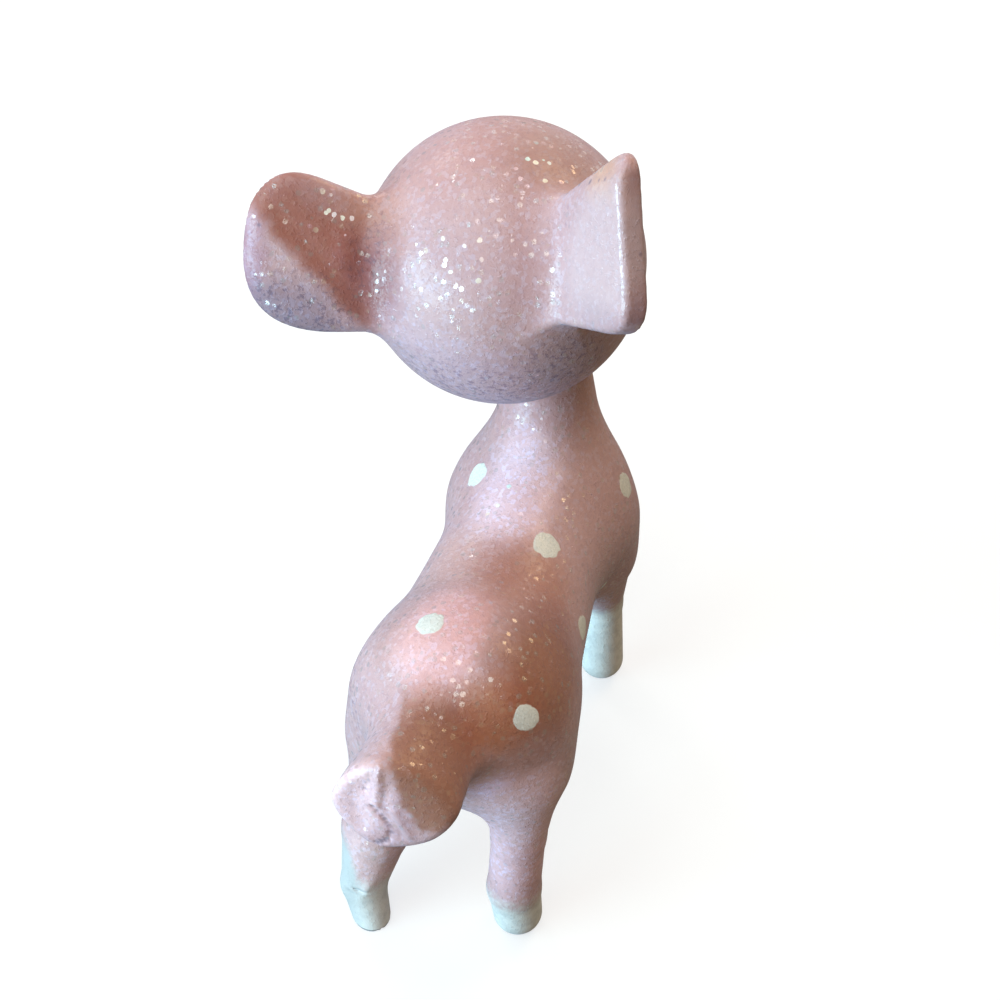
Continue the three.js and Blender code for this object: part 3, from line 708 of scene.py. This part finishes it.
def paint_material():
    n = Nodes("pearl_pink_paint")
    p = n.vector("SUBTRACT", object_place(n), tuple(OFFSET))
    across, along, height = (n.add("SeparateXYZ", {0: p}, out=k) for k in range(3))

    broad = n.noise(p, 0.045, 3)
    mottle = n.noise(p, 0.45, 4, 0.62)
    fine = n.noise(p, 2.6, 3, 0.6)
    grain = n.noise(n.vector("MULTIPLY", p, (1.0, 0.5, 0.6)), 2.2, 3, 0.6, distort=0.8)
    flecks = n.voronoi(p, 1.5)

    dark_fleck = n.math("MULTIPLY", n.math("GREATER_THAN", flecks["red"], 0.72), 0.14)
    light_fleck = n.math("MULTIPLY", n.math("GREATER_THAN", flecks["green"], 0.8), 0.14)
    pink = n.mix(n.ramp(broad, 0.35, 0.65), rgb(210, 162, 144), rgb(200, 148, 130))
    pink = n.mix(n.ramp(mottle, 0.5, 0.8, 0, 0.3), pink, rgb(178, 124, 110))
    pink = n.mix(n.ramp(grain, 0.5, 0.72, 0, 0.22), pink, rgb(220, 196, 194))
    pink = n.mix(dark_fleck, pink, rgb(158, 118, 117))
    pink = n.mix(light_fleck, pink, rgb(228, 216, 225))
    pink = n.mix(n.ramp(fine, 0.62, 0.76, 0, 0.45), pink, rgb(126, 88, 90))

    # Painted light and shade: brown where shade falls, and paler, more pearly paint where light falls
    shake = n.vector("SUBTRACT", n.noise(p, 0.35, 3, out=1), (0.5, 0.5, 0.5))
    wobbled_place = n.vector("ADD", p, n.vector("MULTIPLY", shake, (3, 3, 3)))
    for stroke in PAINTED_LIGHT_AND_SHADE:
        off = n.vector("SUBTRACT", wobbled_place, stroke["start"])
        if "end" in stroke:
            line = np.subtract(stroke["end"], stroke["start"])
            covered = n.vector("DOT_PRODUCT", off, tuple(line), out="Value")
            share = n.math("DIVIDE", covered, float(line @ line), clamp=True)
            off = n.vector("SUBTRACT", off, n.scale(tuple(line), share))
        cover = n.ramp(n.reaches(off, stroke["reach"]), 1.35, 0.45)
        for point, direction, soft in stroke.get("cuts", []):
            past = n.vector("SUBTRACT", wobbled_place, point)
            ahead = n.vector("DOT_PRODUCT", past, tuple(unit(direction)), out="Value")
            cover = n.math("MULTIPLY", cover, n.ramp(ahead, -soft, soft))
        pink = n.mix(cover, pink, (*stroke["tint"], 1.0), "MULTIPLY")

    # The right ear is smoother than the rest, and its paint is made paler and more lavender there, a painted
    # highlight
    from_ear = n.away(p, (-9, -7, 119), (9, 9, 13))
    smooth_lit_ear = n.ramp(from_ear, 1.3, 0.6)
    pink = n.mix(n.math("MULTIPLY", smooth_lit_ear, 0.3), pink, rgb(226, 208, 214))

    # Dark specks in the listed places, a painted shade of grain and flakes that turn away from the light
    speck_shade = n.most([n.ramp(n.away(wobbled_place, centre, reach), 1.4, 0.5) for centre, reach in SHADED_SPECKS])
    specks = n.ramp(n.noise(p, 1.0, 4, 0.72), 0.52, 0.6)
    speckled = n.math("MULTIPLY", n.math("MULTIPLY", specks, speck_shade), 0.8)
    pink = n.mix(speckled, pink, (0.5, 0.42, 0.5, 1.0), "MULTIPLY")

    # White hooves, higher on the front legs and on the outside of the left hind leg
    fade = n.math("ADD", height, n.math("MULTIPLY", n.math("SUBTRACT", n.noise(p, 0.8, 4, 0.7), 0.5), 7.0))
    fade = n.math("SUBTRACT", fade, n.ramp(along, 6, -6, 0, 10.5))
    fade = n.math("SUBTRACT", fade, n.math("MULTIPLY", n.ramp(across, 13, 17.5, 0, 8), n.ramp(along, 20, 30)))
    hoof = n.ramp(fade, 14.5, 8)
    white = n.mix(n.ramp(mottle, 0.4, 0.7), rgb(228, 230, 230), rgb(208, 211, 212))
    # Greyer on the animal's left side of the legs, a painted shade
    white = n.mix(n.ramp(across, 11.5, 16), white, rgb(186, 188, 188))
    colour = n.mix(n.math("MULTIPLY", hoof, 0.94), pink, white)

    # White dots with ragged edges
    ragged = n.math("MULTIPLY", n.math("SUBTRACT", n.noise(p, 0.5, 2), 0.5), 1.3)
    dots = n.math("ADD", n.most([n.within(p, centre, radius) for centre, radius in SPOTS]), ragged)
    dot = n.ramp(dots, -0.12, 0.12)
    colour = n.mix(dot, colour, n.mix(n.ramp(fine, 0.4, 0.7), rgb(224, 224, 220), rgb(208, 210, 206)))

    # Dark paint in the marks, painted shade in the tail's cracks, and a painted shadow round the soles
    crack_shade = [(np.add(a, np.multiply(share, np.subtract(b, a))), 0.5)
              for path in CRACKS for a, b in zip(path[:-1], path[1:]) for share in (0.0, 0.5)]
    dark = n.most([n.within(p, tuple(centre), size) for centre, size in crack_shade + MARKS])
    dark = n.ramp(n.math("ADD", dark, n.math("MULTIPLY", ragged, 0.5)), -0.2, 0.3)
    colour = n.mix(n.math("MULTIPLY", dark, 0.75), colour, rgb(112, 84, 96))
    # A painted contact shadow: darker towards the soles
    low = n.ramp(n.math("ADD", height, n.math("MULTIPLY", ragged, 0.3)), 0.9, 0.45, 0, 0.8)
    colour = n.mix(low, colour, rgb(58, 58, 56))

    # Glitter: discs of film lying at slightly different tilts in the varnish
    film = n.voronoi(n.vector("ADD", p, n.scale(n.noise(p, 1.6, 2, out=1), 0.35)), 0.85)
    flake = n.math("MULTIPLY", n.ramp(film["away"], 0.42, 0.36), n.math("GREATER_THAN", film["red"], 0.62))
    flake = n.math("MULTIPLY", flake, n.inverse(n.math("MAXIMUM", hoof, n.math("MULTIPLY", dot, 0.7))))
    flake = n.math("MULTIPLY", flake, n.inverse(n.math("MULTIPLY", smooth_lit_ear, 0.85)))
    film_and_glint_colour = n.mix(n.ramp(film["green"], 0.45, 0.55), rgb(120, 226, 236), rgb(250, 186, 216))
    film_and_glint_colour = n.mix(n.ramp(film["blue"], 0.6, 0.7), film_and_glint_colour, rgb(255, 240, 205))
    # Painted glints: in the listed patches the flakes are painted near white and shown strongly
    patches = [n.ramp(n.within(wobbled_place, centre, reach), -0.2 * reach, 0.5 * reach) for centre, reach in GLINT_PATCHES]
    painted_glint = n.math("MULTIPLY", n.most(patches), n.math("GREATER_THAN", film["green"], 0.35))
    film_and_glint_colour = n.mix(n.math("MULTIPLY", painted_glint, 0.7), film_and_glint_colour, rgb(252, 254, 250))
    shown = n.math("ADD", n.math("MULTIPLY", painted_glint, 0.85), 0.06)
    colour = n.mix(n.math("MULTIPLY", flake, shown), colour, film_and_glint_colour)

    # Surface: soft brush grain, raised dots and tilted flakes
    grit = n.ramp(n.noise(p, 1.7, 3, 0.6), 0.5, 0.72)
    relief = n.math("ADD", n.math("MULTIPLY", grain, 0.5), n.math("MULTIPLY", mottle, 0.5))
    relief = n.math("ADD", relief, n.math("MULTIPLY", grit, 0.7))
    relief = n.math("ADD", relief, n.math("MULTIPLY", n.ramp(dots, -0.25, 0.5), 0.9))
    bump = n.add("Bump", {"Strength": 0.5, "Distance": 0.00015, "Height": relief})
    paint_lean = n.lean(flecks["colour"], n.inverse(n.most([dot, smooth_lit_ear, hoof])), 0.12)
    film_lean = n.lean(film["colour"], flake, 0.4)

    n.finish(
        Base_Color=colour,
        Roughness=n.ramp(mottle, 0.3, 0.8, 0.7, 0.84),
        Metallic=n.math("MULTIPLY", flake, 0.12),
        Normal=n.vector("NORMALIZE", n.vector("ADD", bump, paint_lean)),
        Coat_Weight=n.math("ADD", n.math("MULTIPLY", flake, 0.6), n.ramp(from_ear, 1.3, 0.6, 0.1, 0.3)),
        Coat_Normal=n.vector("NORMALIZE", n.vector("ADD", bump, film_lean)),
    )
    return n.finish(
        IOR=1.8,
        Specular_IOR_Level=0.7,
        Specular_Tint=(0.3, 0.6, 1.0, 1),
        Coat_IOR=2.2,
        Coat_Roughness=0.1,
        Sheen_Weight=0.2,
        Sheen_Tint=(0.3, 0.6, 1.0, 1),
    )


def eye_material():
    n = Nodes("eye_gloss_black")
    p = object_place(n)
    cloud = n.noise(p, 0.8, 3)
    colour = n.mix(n.ramp(cloud, 0.4, 0.7), rgb(14, 11, 11), rgb(30, 22, 20))
    rough = n.ramp(n.noise(p, 3.0, 3), 0.35, 0.7, 0.05, 0.16)
    bump = n.add("Bump", {"Strength": 0.12, "Distance": 0.00005, "Height": cloud})
    return n.finish(Base_Color=colour, Roughness=rough, Normal=bump, Coat_Weight=1.0, Coat_Roughness=0.04)


def steel_material():
    n = Nodes("drawn_steel")
    streak = n.noise(n.vector("MULTIPLY", object_place(n), (6, 6, 0.3)), 1.0, 3)
    colour = n.mix(streak, rgb(150, 152, 156), rgb(196, 198, 200))
    rough = n.ramp(streak, 0.3, 0.7, 0.25, 0.45)
    bump = n.add("Bump", {"Strength": 0.2, "Distance": 0.00003, "Height": streak})
    return n.finish(Base_Color=colour, Metallic=1.0, Roughness=rough, Normal=bump)


def floor_material():
    n = Nodes("pale_floor")
    colour = n.mix(n.noise(n.add("TexCoord", out="Object"), 14, 4), rgb(150, 150, 150), rgb(158, 158, 158))
    return n.finish(Base_Color=colour, Roughness=0.75, Emission_Color=(0.93, 0.96, 1.0, 1), Emission_Strength=0.72)


paint, gloss, steel = paint_material(), eye_material(), steel_material()

# Painted castings: one skin, shared out between the castings at their seats

PIECES = [
    "trunk", "head", "tail", "left_ear", "right_ear",
    "front_left_leg", "front_right_leg", "hind_left_leg", "hind_right_leg",
]
EAR_MIDDLE = 34  # from the head's centre

points, quads, normals = surface(whole, (-32, -66, -3), (50, 66, 134), SKIN_CELL)
middle = points[quads].mean(1)
x, y, z = middle.T
in_head = (middle - HEAD) @ HEAD_TURN
ball = head_ball(in_head)
neck_out = unit(NECK_ROOT + (NECK_TOP - NECK_ROOT) * 0.85 - HEAD)
neck_seat = HEAD + neck_out * np.sqrt(HEAD_RADIUS ** 2 - NECK_TOP_RADIUS ** 2)

label = np.full(len(quads), "trunk", dtype="<U16")
label[((middle - neck_seat) @ neck_out < 0) & (z > HEAD_ABOVE)] = "head"
label[((middle - TAIL_SEAT) @ TAIL_LINE > 0) & (z > 40)] = "tail"
for side, name in ((1, "left_ear"), (-1, "right_ear")):
    label[(label == "head") & (ear(in_head, side) < ball) & (ball > 0.2)] = name
in_leg = (z < LEG_SEAT) & (label == "trunk")
for end, to_end in (("front", y < 5), ("hind", y > 5)):
    for side, to_side in (("left", x > 0), ("right", x < 0)):
        label[in_leg & to_end & to_side] = f"{end}_{side}_leg"

# Where the caps of a piece's seats point
TOWARDS = {
    "trunk": np.array([0, 5, SPINE_HEIGHT]),
    "head": HEAD,
    "tail": TAIL_END,
    "left_ear": HEAD + HEAD_TURN @ (ear_frame(1)[0] * EAR_MIDDLE),
    "right_ear": HEAD + HEAD_TURN @ (ear_frame(-1)[0] * EAR_MIDDLE),
}
for name in PIECES:
    used, own = np.unique(quads[label == name], return_inverse=True)
    own = own.reshape(-1, 4)
    below = points[used].mean(0) * [1, 1, 0]
    where, facing, caps = capped(own, points[used], normals[used], TOWARDS.get(name, below))
    piece = make_piece(name + "_skin", where, own, caps, facing, paint)
    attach(piece, "root")
    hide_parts(name)

# Eyes and nose


def eye_bead(side):
    line = eye_line(side)

    def field(q):
        ball = np.linalg.norm(q - EYES[side], axis=1) - EYE_RADIUS
        dome = np.linalg.norm(q - EYES[side] - line, axis=1) - 2.35
        return smin(ball, dome, 0.8)

    return field


def nose_bead(q):
    d = ellipsoid(q, NOSE, NOSE_SIZE)
    for side in (1, -1):
        # A rounded wing and a nostril
        d = smin(d, np.linalg.norm(q - NOSE - [side * 1.6, 0.2, -0.5], axis=1) - 1.75, 1.2)
        d = smax(d, 0.55 - np.linalg.norm(q - NOSE - [side * 1.7, -1.9, -1.3], axis=1), 0.5)
    return d


for name, field, centre in (
    ("left_eye", eye_bead(1), EYES[1]),
    ("right_eye", eye_bead(-1), EYES[-1]),
    ("nose", nose_bead, NOSE),
):
    where, faces, facing = surface(field, centre - 5, centre + 5, BEAD_CELL)
    where = where @ HEAD_TURN.T + HEAD
    piece = make_piece(name + "_bead", where, faces, np.zeros((0, 3), int), facing @ HEAD_TURN.T, gloss)
    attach(piece, "root")
    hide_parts(name)

for name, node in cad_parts.items():
    if name.endswith("_wire") or name.endswith("_dowel"):
        for slot in node.material_slots:
            slot.material = steel

# Floor, light and camera

# A round floor that turns up into a wall: the radius and height of each ring, in metres
RINGS = [(2.6, 0.0), (3.2, 0.12), (3.6, 0.4), (3.85, 0.9), (3.95, 1.6), (4.0, 8.0)]
SIDES = 64

around = np.linspace(0, 2 * np.pi, SIDES, endpoint=False)
corners = [(radius * np.cos(a), radius * np.sin(a), rise) for radius, rise in RINGS for a in around]
walls = []
for start in range(0, (len(RINGS) - 1) * SIDES, SIDES):
    for i in range(SIDES):
        j = (i + 1) % SIDES
        walls.append((start + i, start + j, start + SIDES + j, start + SIDES + i))
floor_mesh = bpy.data.meshes.new("floor")
floor_mesh.from_pydata(corners, [], [tuple(range(SIDES))] + walls)
floor_mesh.polygons.foreach_set("use_smooth", [False] + [True] * len(walls))
floor = bpy.data.objects.new("floor", floor_mesh)
bpy.context.scene.collection.objects.link(floor)
floor_mesh.materials.append(floor_material())
# The lights and the world alone colour the paint
floor.visible_diffuse = False
floor.visible_glossy = False
floor.visible_shadow = False

world = bpy.data.worlds.new("studio")
bpy.context.scene.world = world
world.use_nodes = True
background = world.node_tree.nodes["Background"]
background.inputs["Color"].default_value = (1.0, 0.77, 0.5, 1)
background.inputs["Strength"].default_value = 0.27
bpy.context.scene.view_settings.view_transform = "Standard"

LOOK_AT = np.array([0, 0, 60.0])


def aimed(thing, right, up, back, distance):
    """Puts a lamp or camera at a distance from the place it looks at."""
    place = to_frame(LOOK_AT + back * distance)
    thing.matrix_world = Matrix(np.column_stack([right, up, back, place]).tolist()).to_4x4()


def softbox(name, direction, distance, size, power, colour):
    data = bpy.data.lights.new(name, "AREA")
    data.shape = "RECTANGLE"
    data.size, data.size_y = size
    data.energy = power
    data.color = colour
    lamp = bpy.data.objects.new(name, data)
    bpy.context.scene.collection.objects.link(lamp)
    back = unit(direction)
    right = unit(np.cross([0, 0, 1], back))
    aimed(lamp, right, np.cross(back, right), back, distance)


# Cool light from the left rear, a soft top light, and weak fills that keep the front readable
softbox("side", (0.75, 0.65, 0.1), 600, (0.5, 0.3), 6.2, (0.54, 0.88, 1.0))
softbox("top", (0.2, 0.3, 0.93), 600, (0.5, 0.5), 2.5, (0.98, 1.0, 0.95))
softbox("glint", (0.65, -0.56, 0.5), 600, (0.14, 0.14), 0.5, (1.0, 0.98, 0.96))
softbox("fill", (0.15, -0.95, 0.3), 600, (0.6, 0.6), 1.3, (0.9, 0.96, 1.0))
softbox("window", (-0.3, -0.62, 0.72), 700, (0.3, 0.3), 1.4, (1.0, 0.7, 0.36))

CAMERA_DISTANCE = 330
SENSOR = 36

camera_data = bpy.data.cameras.new("camera")
camera_data.sensor_width = SENSOR
camera_data.lens = SENSOR * 1.922
camera_data.shift_x, camera_data.shift_y = -0.0176, 0.0323
camera_data.clip_start, camera_data.clip_end = 0.01, 20
camera = bpy.data.objects.new("camera", camera_data)
bpy.context.scene.collection.objects.link(camera)
azimuth, elevation, roll = np.radians([194.127, 48, -2.894])
level_back = np.array([np.sin(azimuth), -np.cos(azimuth), 0])
back = level_back * np.cos(elevation) + np.array([0, 0, np.sin(elevation)])
level = unit(np.cross([0, 0, 1], back))
above = np.cross(back, level)
right = level * np.cos(roll) - above * np.sin(roll)
up = level * np.sin(roll) + above * np.cos(roll)
aimed(camera, right, up, back, CAMERA_DISTANCE)
bpy.context.scene.camera = camera

bpy.context.view_layer.update()
